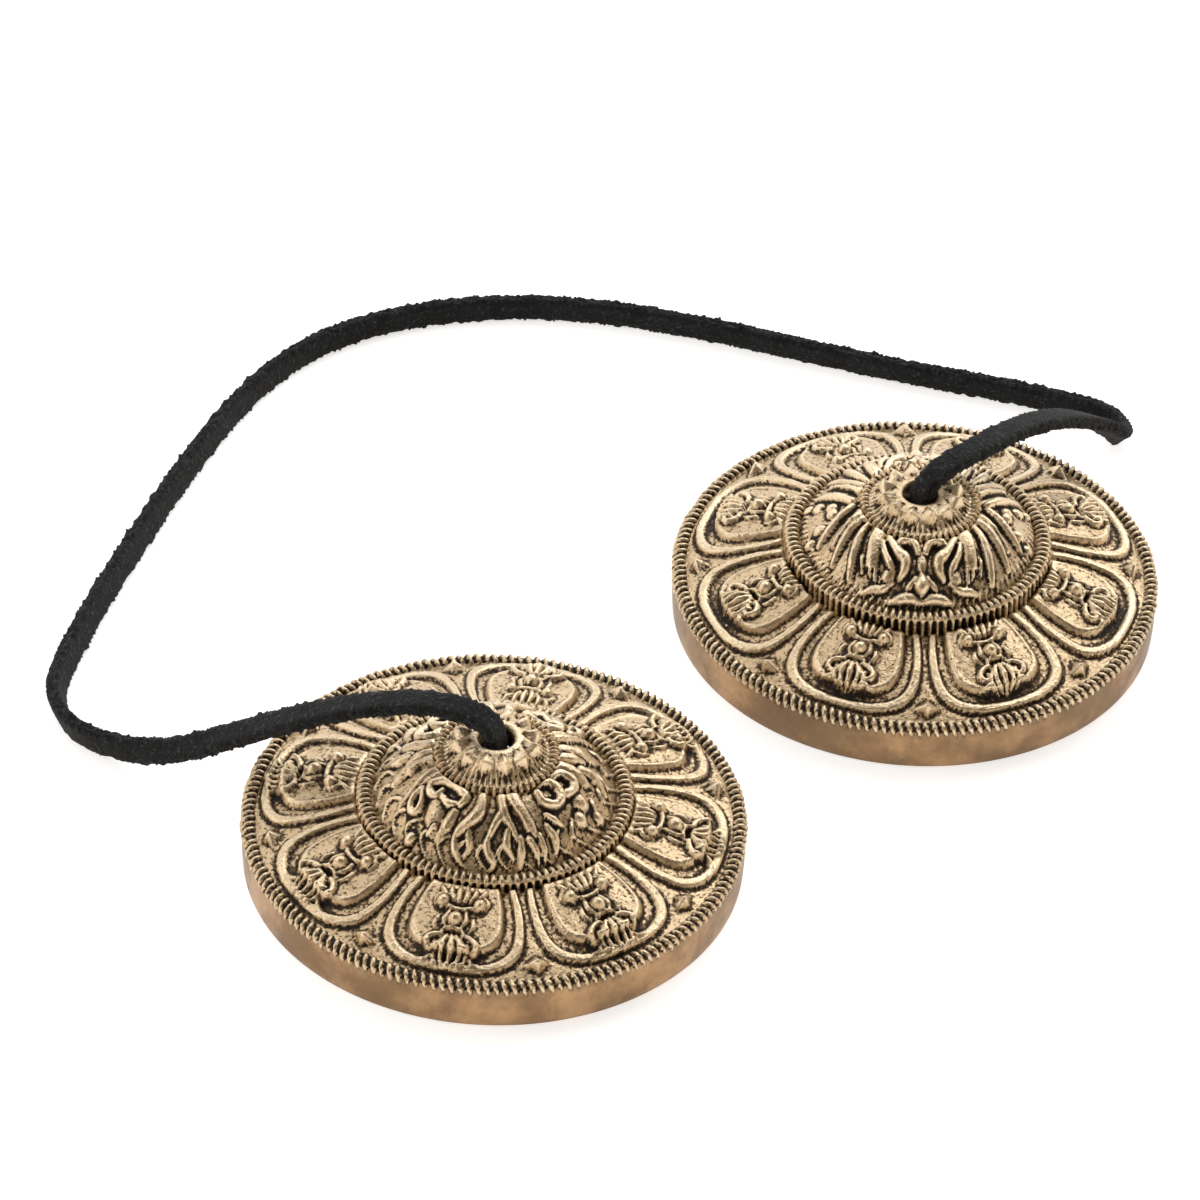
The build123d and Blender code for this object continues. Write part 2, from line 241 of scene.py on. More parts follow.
wallTones = {
    "turned": (0.45, 0.258, 0.123, 1),
    "bruised": (0.18, 0.09, 0.036, 1),
    "stained": (0.10, 0.052, 0.022, 1),
}
wallGrain = {
    "bruises": (130, 6, 0.65),  # scale, detail and roughness of a noise
    "stains": (45, 5, 0.6),
    "bruised": (0.32, 0.64),  # noise levels from clean to full
    "stained": (0.46, 0.62, 0.0, 0.8),
    "roughness": (0.3, 0.8, 0.36, 0.5),
    "castShare": 0.2,
    "bump": (0.2, 0.0001),
}


def wallBronze():
    material, tree, shader = newMaterial("bronzeWall")
    where = addNode(tree, "ShaderNodeTexCoord").outputs["Object"]
    made = placeGroup(tree, castBronze, Age=0.35, Grain=0.4)
    grain = wallGrain
    bruise = noise(tree, where, *grain["bruises"])
    stain = noise(tree, where, *grain["stains"])
    bruised = spread(tree, bruise, *grain["bruised"])
    tone = blendColour(tree, bruised, wallTones["turned"], wallTones["bruised"])
    tone = blendColour(tree, spread(tree, stain, *grain["stained"]), tone, wallTones["stained"])
    feed(tree, shader.inputs["Base Color"], blendColour(tree, grain["castShare"], tone, made["Color"]))
    feed(tree, shader.inputs["Roughness"], spread(tree, bruise, *grain["roughness"]))
    shader.inputs["Metallic"].default_value = 1.0
    feed(tree, shader.inputs["Normal"], bumpFrom(tree, made["Height"], *grain["bump"]))
    return material


def undersideBronze():
    material, tree, shader = newMaterial("bronzeUnderside")
    where = addNode(tree, "ShaderNodeTexCoord").outputs["Object"]
    stain = noise(tree, where, 60, 6, 0.6)
    made = placeGroup(tree, castBronze, Depth=spread(tree, stain, 0.35, 0.8, 0.0, 0.6), Age=0.4)
    feed(tree, shader.inputs["Base Color"], made["Color"])
    feed(tree, shader.inputs["Roughness"], made["Roughness"])
    shader.inputs["Metallic"].default_value = 1.0
    feed(tree, shader.inputs["Normal"], bumpFrom(tree, made["Height"], 0.5, 0.00015))
    return material


bronzeFinishes = [reliefBronze(), wallBronze(), undersideBronze()]
print("bronze finishes ready")


# Drawing of the ornament, on the plan of a cymbal

def ease(low, high, value):
    share = np.clip((value - low) / (high - low), 0, 1)
    return share * share * (3 - 2 * share)


def boss(x, y, place, size):  # rounded knob, 0 at its edge to 1 at its top
    away = ((x - place[0]) / size[0]) ** 2 + ((y - place[1]) / size[1]) ** 2
    return np.sqrt(np.clip(1 - away, 0, 1))


def facet(x, y, place, size):  # four-sided pyramid
    return np.clip(1 - np.abs(x - place[0]) / size[0] - np.abs(y - place[1]) / size[1], 0, 1)


def bendThrough(points, steps):  # smooth line through a few points
    points = [np.array(each, float) for each in points]
    points = [2 * points[0] - points[1]] + points + [2 * points[-1] - points[-2]]
    line = []
    for before, start, end, after in zip(points, points[1:], points[2:], points[3:]):
        for share in np.arange(steps) / steps:
            line.append(0.5 * (2 * start + (end - before) * share
                               + (2 * before - 5 * start + 4 * end - after) * share ** 2
                               + (3 * start - before - 3 * end + after) * share ** 3))
    return np.array(line + [points[-2]])


def ridge(x, y, points, widths, steps=5):  # tapered round ridge along a bent line
    line = bendThrough(points, steps)
    halves = np.interp(np.linspace(0, 1, len(line)), np.linspace(0, 1, len(widths)), widths)
    low = line.min(0) - max(widths)
    high = line.max(0) + max(widths)
    near = (x > low[0]) & (x < high[0]) & (y > low[1]) & (y < high[1])
    px, py = x[near], y[near]
    best = np.zeros_like(px)
    for start, end, first, last in zip(line, line[1:], halves, halves[1:]):
        along = end - start
        share = np.clip(((px - start[0]) * along[0] + (py - start[1]) * along[1]) / (along @ along), 0, 1)
        half = first + share * (last - first)
        away = (px - start[0] - share * along[0]) ** 2 + (py - start[1] - share * along[1]) ** 2
        best = np.maximum(best, np.sqrt(np.clip(1 - away / half ** 2, 0, 1)) * half)
    raised = np.zeros_like(x)
    raised[near] = best / max(widths)
    return raised


# Lotus petals of the flange: half widths and reach of the nested horseshoe lines
petalShape = {
    "count": 8,
    "root": 17.4,
    "panel": (4.2, 5.65, 23.6, 27.5),  # half width at the root and belly, belly's place, tip
    "trough": (5.15, 7.1, 24.2, 28.7),
    "crest": (6.05, 8.3, 24.7, 29.6),
    "outer": (6.7, 9.1, 25.0, 30.3),
    "roundness": 2.3,
    "panelRise": 0.7,
    "panelCrown": 0.25,
    "troughDrop": 0.8,
    "crestRise": 0.65,
    "grooveDrop": 0.4,
    "slopes": ((0.05, 0.8), (0.05, 0.55), (0.6, 1.0)),  # where each slope between two lines starts and ends
    "lineRise": 0.18,  # thin raised line along the panel's edge
    "crownHalf": 5.6,  # half width of the panel's swell
    "lineInset": 0.3,
    "lineWidth": 0.22,
    "fieldRise": 0.1,
    "seam": (0.35, 0.24, 24.0, 26.0),  # cut between two petals: depth, width, radii where it fades
    "alongShift": (0.14, 2.1),  # slight shifts of the motif from petal to petal
    "sideShift": (0.16, 0.8, 2.3),
    "studPlace": 28.9,
    "studSize": (1.4, 2.1),  # along the radius and across it
    "studRise": 1.65,
}


def horseshoe(x, y, line):
    base, belly, bellyAt, tip = line
    inward = np.clip((bellyAt - x) / (bellyAt - petalShape["root"]), 0, None)
    outward = np.clip((x - bellyAt) / (tip - bellyAt), 0, None)
    width = belly - (belly - base) * inward ** 1.7
    power = petalShape["roundness"]
    return ((np.abs(y) / width) ** power + outward ** power) ** (1 / power)


def offLine(x, y, line):  # distance outside a horseshoe line, in millimetres
    step = 0.01
    here = horseshoe(x, y, line)
    slopeX = (horseshoe(x + step, y, line) - here) / step
    slopeY = (horseshoe(x, y + step, line) - here) / step
    return (here - 1) / np.maximum(np.hypot(slopeX, slopeY), 1e-3)


def petalGround(x, y):
    s = petalShape
    lines = [offLine(x, y, s[name]) for name in ("panel", "trough", "crest", "outer")]
    levels = (s["panelRise"], -s["troughDrop"], s["crestRise"], -s["grooveDrop"])
    panel, outer = lines[0], lines[-1]
    level = s["panelRise"] + s["panelCrown"] * (1 - (y / s["crownHalf"]) ** 2)
    level = level + s["lineRise"] * np.exp(-((panel + s["lineInset"]) / s["lineWidth"]) ** 2)
    for inner, further, first, last, (start, end) in zip(lines, lines[1:], levels, levels[1:], s["slopes"]):
        across = np.clip(inner / np.maximum(inner - further, 1e-3), 0, 1)
        share = np.clip((across - start) / (end - start), 0, 1)
        level = np.where(inner >= 0, first + (last - first) * share, level)
    field = -s["grooveDrop"] + (s["fieldRise"] + s["grooveDrop"]) * ease(0, 0.5, outer)
    return np.where(outer >= 0, field, level), panel


# Motif of a petal, measured from its two eyes towards the rim and sideways
petalMotif = {
    "eye": ((0.0, 2.45), (0.92, 0.92), 1.25),
    "hood": ([(-0.9, 1.6), (-1.25, 2.6), (-0.5, 3.5), (0.5, 3.4)], (0.28, 0.36, 0.2), 0.55),
    "leaf": ([(-0.2, 0.4), (-1.4, 0.55), (-2.7, 0.4)], (0.4, 0.45, 0.2), 0.8),
    "sideLeaf": ([(-0.4, 1.15), (-1.5, 1.6), (-2.6, 1.6)], (0.36, 0.42, 0.2), 0.7),
    "outerLeaf": ([(-1.2, 2.3), (-1.9, 2.8), (-2.6, 3.1)], (0.34, 0.36, 0.18), 0.6),
    "brow": ([(0.95, 0.0), (0.85, 0.9), (0.6, 1.6), (0.95, 2.4)], (0.3, 0.34, 0.22), 0.65),
    "nose": ((2.5, 0.0), (1.05, 1.05), 1.45),
    "cheek": ([(1.5, 1.15), (2.6, 1.45), (3.6, 1.0)], (0.34, 0.42, 0.28), 0.6),
    "jowl": ([(2.2, 2.3), (3.2, 2.6), (4.1, 2.2)], (0.3, 0.38, 0.2), 0.5),
    "lip": ([(3.75, 0.0), (3.8, 0.8), (4.2, 1.5)], (0.28, 0.3, 0.2), 0.6),
    "mouth": ((4.4, 0.0), (0.36, 1.3), -0.9),
    "curl": ([(4.7, 1.4), (4.9, 2.4), (5.7, 3.35), (6.7, 3.1), (6.7, 2.2), (5.9, 2.2)],
             (0.36, 0.5, 0.34), 0.85),
    "tongue": ([(4.9, 0.0), (6.6, 0.0), (9.1, 0.0)], (0.35, 0.62, 0.25), 1.2),
    "finger": ([(4.9, 0.6), (6.3, 1.2), (7.8, 1.15), (9.0, 0.5)], (0.32, 0.48, 0.42, 0.2), 1.0),
    "sideFinger": ([(5.4, 1.3), (6.8, 2.05), (8.0, 2.0), (8.8, 1.3)], (0.3, 0.42, 0.36, 0.2), 0.85),
    "tipLobe": ([(7.4, 2.5), (7.9, 3.1), (7.9, 4.0)], (0.36, 0.38, 0.2), 0.65),
}


def motifRise(along, aside):
    rise = np.zeros_like(along)
    cut = np.zeros_like(along)
    for place, sizes, height in petalMotif.values():
        if isinstance(place, list):
            rise = np.maximum(rise, height * ridge(along, aside, place, sizes))
        elif height > 0:
            rise = np.maximum(rise, height * boss(along, aside, place, sizes))
        else:
            cut = np.minimum(cut, height * boss(along, aside, place, sizes))
    return rise, cut


def flangeRelief(radius, angle, each):
    s = petalShape
    share = 2 * math.pi / s["count"]
    turned = angle - math.radians(each["turn"])
    petal = np.round(turned / share)
    local = turned - petal * share
    x, y = radius * np.cos(local), radius * np.sin(local)
    level, panel = petalGround(x, y)
    reach, pace = s["alongShift"]
    along = (x - each["motifPlace"] - reach * np.sin(pace * petal)) / each["motifScale"]
    reach, bend, pace = s["sideShift"]
    sway = reach * np.sin(bend * x + pace * petal)
    rise, cut = motifRise(along, np.abs(y + sway) / each["motifSpread"])
    floor = np.where(panel < 0, level, np.maximum(level, s["fieldRise"]))
    level = np.where(rise > 0, np.maximum(level, floor + rise), level) + cut * (rise < 0.25)
    edge = share / 2 - np.abs(local)  # angle from the line between two petals
    side, out = radius * np.sin(edge), radius * np.cos(edge)
    depth, width, kept, gone = s["seam"]
    level = level - depth * np.exp(-(side / width) ** 2) * ease(gone, kept, out)
    stud = facet(out, side, (s["studPlace"], 0), s["studSize"])
    return np.maximum(level, s["studRise"] * stud)


# Dome ornament: raised strokes and cuts. Each has its places, as a radius and degrees from the middle of
# a repeat, then half widths along it and its height
flameDome = {
    "repeat": 180,
    "middle": -128,
    "mirrored": False,
    "ridges": [
        ([(7.9, 0.5), (9.5, 1), (10.6, 2.5), (11.8, 6), (12.9, 8)], (0.55, 0.6, 0.45, 0.3), 0.9),
        ([(10.2, 0), (11.2, -4), (12.2, -7), (13.2, -9)], (0.5, 0.45, 0.3), 0.7),
        ([(7.9, 9.5), (9.4, 11.5), (10.8, 14.5), (12.2, 17.5), (13, 19)], (0.8, 0.85, 0.7, 0.35), 0.9),
        ([(7.9, -14.5), (9.4, -14.5), (10.4, -16.5), (11.4, -21), (12.6, -26), (13.4, -27)],
         (0.75, 0.8, 0.6, 0.35), 0.95),
        ([(13.2, -27), (14.2, -25), (15.2, -21)], (0.4, 0.5, 0.2), 0.6),
        ([(11.8, -21), (12.8, -19.5), (13.8, -18), (14.6, -20)], (0.35, 0.45, 0.2), 0.5),
        ([(13.2, -9), (14.0, -8), (14.9, -5), (15.6, -7)], (0.45, 0.45, 0.15), 0.7),
        ([(12.2, 3), (13.4, 2), (14.6, 5)], (0.4, 0.5, 0.2), 0.6),
        ([(13.0, 10), (14.2, 9.5), (15.4, 8)], (0.4, 0.45, 0.2), 0.6),
        ([(13.2, 15), (14.2, 17), (15.4, 17)], (0.4, 0.42, 0.15), 0.65),
        ([(13.0, 21), (14.2, 21.5), (15.4, 20)], (0.35, 0.4, 0.15), 0.65),
        ([(11.4, 30), (12.2, 33), (13.0, 36)], (0.3, 0.4, 0.25), 0.7),
        ([(12.6, 27), (13.8, 29), (15.0, 27)], (0.45, 0.5, 0.2), 0.65),
        ([(8.0, 41), (8.4, 47), (9.6, 49), (10.6, 45), (10.7, 38), (10.0, 32.5), (8.8, 32)],
         (0.55, 0.62, 0.5), 0.95),
        ([(8.2, 56), (8.8, 63), (10.2, 64), (10.9, 58), (10.6, 51)], (0.55, 0.65, 0.5), 0.95),
        ([(8.1, 72), (9.6, 73), (11.2, 71), (12.6, 68)], (0.7, 0.8, 0.45), 0.8),
        ([(11.0, 80), (12.6, 80), (14.2, 76)], (0.6, 0.7, 0.3), 0.7),
        ([(8.1, 84), (9.6, 86), (11, 88)], (0.6, 0.7, 0.4), 0.8),
        ([(7.9, -71), (9.8, -70.5), (11.8, -68), (13.6, -67)], (0.5, 0.5, 0.4, 0.3), 0.75),
        ([(7.9, -64.5), (9.6, -66), (10.8, -66.5)], (0.4, 0.4, 0.25), 0.65),
        ([(10.8, -64), (12.2, -63), (13.0, -58.5), (12.6, -55), (11.6, -57), (10.6, -63)],
         (0.38, 0.42, 0.35), 0.8),
        ([(7.9, -51), (8.7, -57.5), (9.7, -60), (10.4, -56), (10.2, -50.5), (9.4, -50)],
         (0.55, 0.52, 0.38), 0.95),
        ([(8.3, -52), (8.0, -44), (8.4, -34), (9.0, -29), (9.9, -31)], (0.5, 0.6, 0.42), 0.9),
        ([(10.0, -46), (10.3, -39), (9.9, -32)], (0.4, 0.5, 0.3), 0.75),
        ([(10.9, -47), (12.0, -44), (13.4, -40)], (0.9, 1.1, 0.6), 0.55),
        ([(11.0, -33), (12.4, -34), (13.8, -36)], (0.6, 0.7, 0.4), 0.6),
        ([(13.0, -40.5), (13.9, -42)], (0.35, 0.25), 0.75),
        ([(8.0, -86), (9.6, -85), (11.4, -86), (13, -84)], (0.8, 0.9, 0.5), 0.8),
    ],
    "cuts": [
        ([(8.0, -9.5), (10, -9), (12, -11), (13.6, -12)], (0.45, 0.5, 0.45, 0.2), 0.55),
        ([(8.6, 22), (10.4, 22.5), (12.4, 24), (14.6, 25)], (0.4, 0.55, 0.5, 0.25), 0.65),
        ([(9.6, 6.5), (11, 10.5), (12.6, 13)], (0.25, 0.35, 0.2), 0.5),
        ([(9.35, -47), (9.45, -40), (9.3, -33)], (0.25, 0.42, 0.2), 0.6),
        ([(8.3, -79), (9.8, -80.5), (11.4, -78)], (0.4, 0.55, 0.3), 0.7),
        ([(9.0, 39.5), (9.8, 40.5)], (0.75, 0.7), 0.9),
        ([(9.3, 57), (9.9, 57.5)], (0.6, 0.55), 0.8),
        ([(14.1, 41.5), (14.3, 42.5)], (0.7, 0.6), 0.9),
        ([(11.6, 64.5), (12.4, 68), (12.6, 71)], (0.3, 0.4, 0.2), 0.6),
        ([(12.8, 65), (13.5, 70)], (0.35, 0.25), 0.6),
    ],
    "licks": (13.2, 15.7, 34, 0.42, 0.42),  # small flames at the foot: radii, count, half width, rise
    "knobs": [((12.3, 56), 1.15, 0.95), ((13.5, 49), 0.9, 0.8),
              ((15.0, -50), 0.75, 0.95), ((14.6, 60), 0.8, 0.7)],  # place, radius, rise
}
leafDome = {
    "repeat": 180,
    "middle": -133,
    "mirrored": True,
    "ridges": [
        ([(7.9, 0), (9.4, 0), (11, 0), (12.4, 0)], (0.3, 0.42, 0.6, 0.4), 0.55),
        ([(9.6, 3), (8.7, 5), (8.1, 10), (8.1, 16), (8.8, 19.5), (9.5, 17)], (0.4, 0.58, 0.58, 0.35), 1.05),
        ([(8.2, 31), (9.0, 26), (9.9, 19), (10.6, 12), (11.8, 11), (12.8, 13)],
         (0.5, 0.65, 0.72, 0.65, 0.35), 1.05),
        ([(9.2, 33), (10.2, 28), (11.4, 21.5), (12.3, 18)], (0.4, 0.52, 0.52, 0.35), 0.85),
        ([(12.5, 0), (13.4, 0), (14.4, 0)], (0.5, 0.85, 0.35), 1.15),
        ([(14.9, 1), (14.6, 6), (14.9, 12), (15.3, 16)], (0.35, 0.5, 0.45, 0.2), 0.75),
        ([(12.6, 3.5), (13.6, 7), (14.4, 7.5)], (0.3, 0.4, 0.25), 0.6),
        ([(8.0, 43), (9.6, 39.5), (11.2, 35), (12.6, 31), (13.8, 24)], (0.95, 1.0, 0.9, 0.65, 0.3), 0.95),
        ([(10.6, 43), (11.8, 40), (13.4, 35.5)], (0.3, 0.35, 0.2), 0.8),
        ([(8.0, 57), (9.8, 53), (11.6, 48), (13.4, 43), (14.6, 40)], (0.5, 0.55, 0.5, 0.35), 0.85),
        ([(8.0, 66), (10, 63.5), (12, 59), (14.4, 54)], (0.6, 0.6, 0.5, 0.3), 0.85),
        ([(8.0, 74), (9.4, 70.5), (11, 67), (13, 62)], (0.5, 0.55, 0.3), 0.85),
        ([(9.0, 86), (10.6, 79), (12.4, 74), (14.2, 70)], (0.5, 0.6, 0.5, 0.3), 0.85),
        ([(13.4, 17), (14.2, 21), (14.6, 27), (15.2, 31)], (0.3, 0.42, 0.4, 0.2), 0.6),
    ],
    "cuts": [
        ([(9.2, 29.5), (10.2, 23.5), (11.2, 17.5)], (0.22, 0.32, 0.25), 0.65),
        ([(8.9, 11), (9.2, 13)], (0.5, 0.4), 0.5),
        ([(12.7, 26.5), (13.9, 24.5)], (0.18, 0.14), 0.45),
        ([(12.7, 30), (14.0, 28)], (0.18, 0.14), 0.45),
        ([(12.8, 33.5), (14.3, 31.5)], (0.18, 0.14), 0.45),
        ([(8.3, 52), (9.8, 47), (11.4, 41), (12.4, 37)], (0.5, 0.55, 0.45, 0.25), 0.85),
        ([(8.6, 60.5), (10.2, 57.5), (12, 53)], (0.3, 0.4, 0.25), 0.6),
        ([(8.2, 84), (9.4, 77), (10.8, 71.5), (12.4, 67), (13.8, 64.5)], (0.45, 0.7, 0.6, 0.3), 0.85),
        ([(10.6, 5.5), (11.8, 6), (12.6, 7)], (0.4, 0.5, 0.3), 0.45),
    ],
    "licks": (14.9, 15.8, 96, 0.26, 0.3),
    "knobs": [((12.9, 20), 0.95, 0.75), ((13.5, 80), 0.8, 0.6),
              ((11.6, 87), 0.8, 0.7), ((15.0, 76), 0.7, 0.6)],
}
domeCut = {
    "strokeSwell": 1.25,  # strokes are wider and higher than drawn
    "strokeLift": 1.2,
    "groundDrop": 0.12,
    "lickSway": (0.35, 1.6),  # share of the pitch, turn for each millimetre
    "lickTaper": 0.75,
}


def toPlan(places):
    return [(r * math.cos(math.radians(a)), r * math.sin(math.radians(a))) for r, a in places]


def domeRelief(radius, angle, dome):
    share = math.radians(dome["repeat"])
    turned = angle - math.radians(dome["middle"])
    local = turned - np.round(turned / share) * share
    if dome["mirrored"]:
        local = np.abs(local)
    x, y = radius * np.cos(local), radius * np.sin(local)
    level = np.zeros_like(x)
    for places, widths, height in dome["ridges"]:
        swollen = [domeCut["strokeSwell"] * width for width in widths]
        level = np.maximum(level, domeCut["strokeLift"] * height * ridge(x, y, toPlan(places), swollen))
    for place, size, height in dome["knobs"]:
        level = np.maximum(level, height * boss(x, y, toPlan([place])[0], (size, size)))
    for places, widths, height in dome["cuts"]:
        level = level - height * ridge(x, y, toPlan(places), widths)
    inner, outer, count, half, height = dome["licks"]
    pitch = 2 * math.pi / count
    sway, bend = domeCut["lickSway"]
    swing = angle + sway * pitch * np.sin((radius - inner) * bend)
    aside = (swing - np.round(swing / pitch) * pitch) * radius
    taper = half * (1 - domeCut["lickTaper"] * np.clip((radius - inner) / (outer - inner), 0, 1))
    lick = height * np.sqrt(np.clip(1 - (aside / taper) ** 2, 0, 1))
    lick = lick * ease(inner - 0.4, inner + 0.3, radius) * ease(outer + 0.3, outer - 0.4, radius)
    return np.maximum(level, lick) - domeCut["groundDrop"]


# Roped rings and the crown round the hole
ropeRings = {
    "rim": {"ribs": 176, "slant": 0.35, "rise": 0.62, "depths": (1.1, 0.75, 0.9), "seed": 31},
    "foot": {"ribs": 110, "slant": 0.1, "rise": 0.6, "depths": (1.4, 0.15, 0.7), "seed": 32},
    "collar": {"ribs": 55, "slant": 0.0, "rise": 0.55, "depths": (1.0, 1.0, 1.0), "seed": 33},
}
ribShape = {
    "bands": (-0.4, -0.15, 0.2),  # from outer to inner side, where the three depths hold
    "widths": (0.58, 0.76),  # share of the pitch, from the narrowest rib to the widest
    "heights": (0.82, 1.1),
    "top": 0.35,
}
crownBeads = {
    "count": 12,
    "place": 4.7,
    "size": (1.5, 1.35),
    "rise": 1.35,
    "dip": 0.12,
    "dipPlace": 6.2,
    "dipWidth": 0.45,
    "fluteRise": 0.12,
    "fluteReach": (5.2, 6.2),
}


def ropeRelief(along, angle, rope):  # along runs from the ring's outer side to its inner side
    turned = angle * rope["ribs"] / (2 * math.pi) + rope["slant"] * along
    rib = np.floor(turned).astype(int) % rope["ribs"]
    draws = np.random.default_rng(rope["seed"])
    width = draws.uniform(*ribShape["widths"], rope["ribs"])[rib]
    height = draws.uniform(*ribShape["heights"], rope["ribs"])[rib]
    across = 2 * (turned - np.floor(turned)) - 1
    strand = height * np.clip(1 - (np.abs(across) / width) ** 2.4, 0, 1) ** 0.6
    depth = np.interp(along, ribShape["bands"], rope["depths"])
    return rope["rise"] * (ribShape["top"] + (strand - 1) * depth)


def crownRelief(radius, angle):
    s = crownBeads
    pitch = 2 * math.pi / s["count"]
    local = angle - np.round(angle / pitch) * pitch
    x, y = radius * np.cos(local), radius * np.sin(local)
    level = s["rise"] * facet(x, y, (s["place"], 0), s["size"])
    flutes = s["fluteRise"] * np.cos(angle * ropeRings["collar"]["ribs"]) * ease(*s["fluteReach"], radius)
    dip = s["dip"] * np.exp(-((radius - s["dipPlace"]) / s["dipWidth"]) ** 2)
    return level + flutes - dip


# Cymbals: profile of each casting, from the rest face over the top and back through the hollow
cymbalShape = {
    "wallInset": 0.2,
    "wallBulge": 0.14,
    "edgeBevel": 0.4,
    "landWidth": 3.6,
    "rimHeight": 6.1,
    "rimRope": (0.95, 0.95),  # half width and half height of the bead
    "flangeOut": (30.7, 6.45),
    "flangeCrown": 0.3,
    "footRadius": 16.75,
    "footRope": (1.0, 1.0),
    "collarRadius": 7.35,
    "collarRope": (0.65, 0.65),
    "domeSwell": 1.15,
    "lipBevel": 0.6,
    "lipWidth": 0.35,
    "holeRadius": 2.2,
    "seatHeight": 17.5,
    "seatRadius": 4.8,
    "throat": (13.6, 9.0),
    "hollowSwell": 1.2,
    "flangeHollow": 1.3,
    "columns": 848,
    "castNoise": 0.022,  # unevenness of the cast skin
}
cymbals = {
    "left": {
        "node": "cymbal_left",
        "body": "left_cymbal",
        "name": "cymbalLeft",
        "turn": -54.0,
        "footHeight": 10.5,
        "footStep": 0.65,
        "collarHeight": 17.6,
        "motifPlace": 20.8,
        "motifScale": 1.0,
        "motifSpread": 0.95,
        "dome": flameDome,
        # paler lip round the hole: rubbed by the lace, and painted highlight
        "lipRub": 0.6,
        # how much paler the whole cymbal is made, all over
        "paler": 0.0,
        "seed": 11,
    },
    "right": {
        "node": "cymbal_right",
        "body": "right_cymbal",
        "name": "cymbalRight",
        "turn": -64.0,
        "footHeight": 12.4,
        "footStep": 1.8,
        "collarHeight": 18.4,
        "motifPlace": 19.8,
        "motifScale": 0.91,
        "motifSpread": 0.9,
        "dome": leafDome,
        # paler lip round the hole: rubbed by the lace, and painted highlight
        "lipRub": 0.15,
        # how much paler the whole cymbal is made, all over
        "paler": 0.07,
        "seed": 23,
    },
}


# Wear and painted light of each zone: dark wax patina and painted shade in its pits and wider hollows,
# rubbed metal and painted highlight all over and where it stands proud
zoneWearAndPaintedLight = {
    "rim": (0.8, 0.6, 0.0, 0.3),
    "foot": (0.8, 0.6, 0.1, 0.4),
    "collar": (0.7, 0.3, 0.2, 0.4),
    "flange": (0.7, 0.34, 0.08, 0.3),
    "dome": (1.5, 0.6, 0.3, 0.9),
    "crown": (0.7, 0.3, 0.45, 0.8),
}
wearAndPaintedLightReach = {
    "pit": 0.17,  # depths and heights, in millimetres, at which wear, painted shade and painted highlight are full
    "pitPower": 1.2,
    "hollow": 0.6,
    "edge": 0.16,
    # paler lines along raised edges: rubbed wear and painted highlight
    "edgeRub": 0.4,
    "proud": 0.7,
    "near": 4,  # rounds of softening that give the level round a point
    "wide": 20,
}


def straight(start, end, count, swell=0.0):  # rows from start up to, but not including, end
    share = np.arange(count) / count
    r = start[0] + share * (end[0] - start[0])
    z = start[1] + share * (end[1] - start[1]) + 4 * swell * share * (1 - share)
    return np.stack([r, z], 1)


def beadArc(middle, sizes, first, last, count):
    turn = np.radians(first + np.arange(count) / count * (last - first))
    return np.stack([middle[0] + sizes[0] * np.cos(turn), middle[1] + sizes[1] * np.sin(turn)], 1)


def cymbalProfile(each):
    s = cymbalShape
    low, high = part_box(each["node"])
    outer = (high.x - low.x) / 2 / mm
    top = (high.z - low.z) / mm
    wall = outer - s["wallInset"]
    rim = (outer - s["rimRope"][0], s["rimHeight"])
    foot = (s["footRadius"], each["footHeight"])
    collar = (s["collarRadius"], each["collarHeight"])
    flangeIn = (foot[0] + s["footRope"][0], foot[1] - each["footStep"])
    footIn = (foot[0] - 0.9 * s["footRope"][0], foot[1] + 0.3)
    collarOut = (collar[0] + 0.9 * s["collarRope"][0], collar[1] - 0.3)
    collarIn = (collar[0] - 0.9 * s["collarRope"][0], collar[1] + 0.3)
    lipOut = (s["holeRadius"] + s["lipBevel"] + s["lipWidth"], top)
    lip = (s["holeRadius"] + s["lipBevel"], top)
    hole = s["holeRadius"]
    seat = s["seatHeight"]
    bevel = s["edgeBevel"]
    land = wall - bevel - s["landWidth"]
    fine = s["columns"]
    middling, plain = fine // 2, fine // 4
    return [
        ("wall", plain, straight((land, 0), (wall - bevel, 0), 3)),
        ("wall", plain, straight((wall - bevel, 0), (wall, bevel), 3)),
        ("wall", plain, straight((wall, bevel), (wall, rim[1] - 0.55), 7)),
        ("wall", middling, np.array([(wall, rim[1] - 0.5)])),
        ("rim", fine, beadArc(rim, s["rimRope"], -25, 155, 11)),
        ("flange", fine, straight(s["flangeOut"], flangeIn, 50, s["flangeCrown"])),
        ("foot", fine, straight(flangeIn, (flangeIn[0], foot[1]), 3)),
        ("foot", fine, beadArc(foot, s["footRope"], 0, 160, 9)),
        ("dome", middling, straight(footIn, collarOut, 44, s["domeSwell"])),
        ("collar", middling, beadArc(collar, s["collarRope"], -25, 155, 8)),
        ("crown", middling, straight(collarIn, lipOut, 12, 0.3)),
        ("lip", plain, straight(lipOut, lip, 2)),
        ("lip", plain, straight(lip, (hole, top - s["lipBevel"]), 4, 0.12)),
        ("hollow", plain, straight((hole, top - s["lipBevel"]), (hole, seat), 3)),
        ("hollow", plain, straight((hole, seat), (s["seatRadius"], seat), 2)),
        ("hollow", plain, straight((s["seatRadius"], seat), s["throat"], 9, s["hollowSwell"])),
        ("hollow", plain, straight(s["throat"], (land, 0), 11, s["flangeHollow"])),
    ]


def softened(field, times):
    for _ in range(times):
        field = (field + np.roll(field, 1, 1) + np.roll(field, -1, 1)) / 3
        field = (field + np.vstack([field[:1], field[:-1]]) + np.vstack([field[1:], field[-1:]])) / 3
    return field


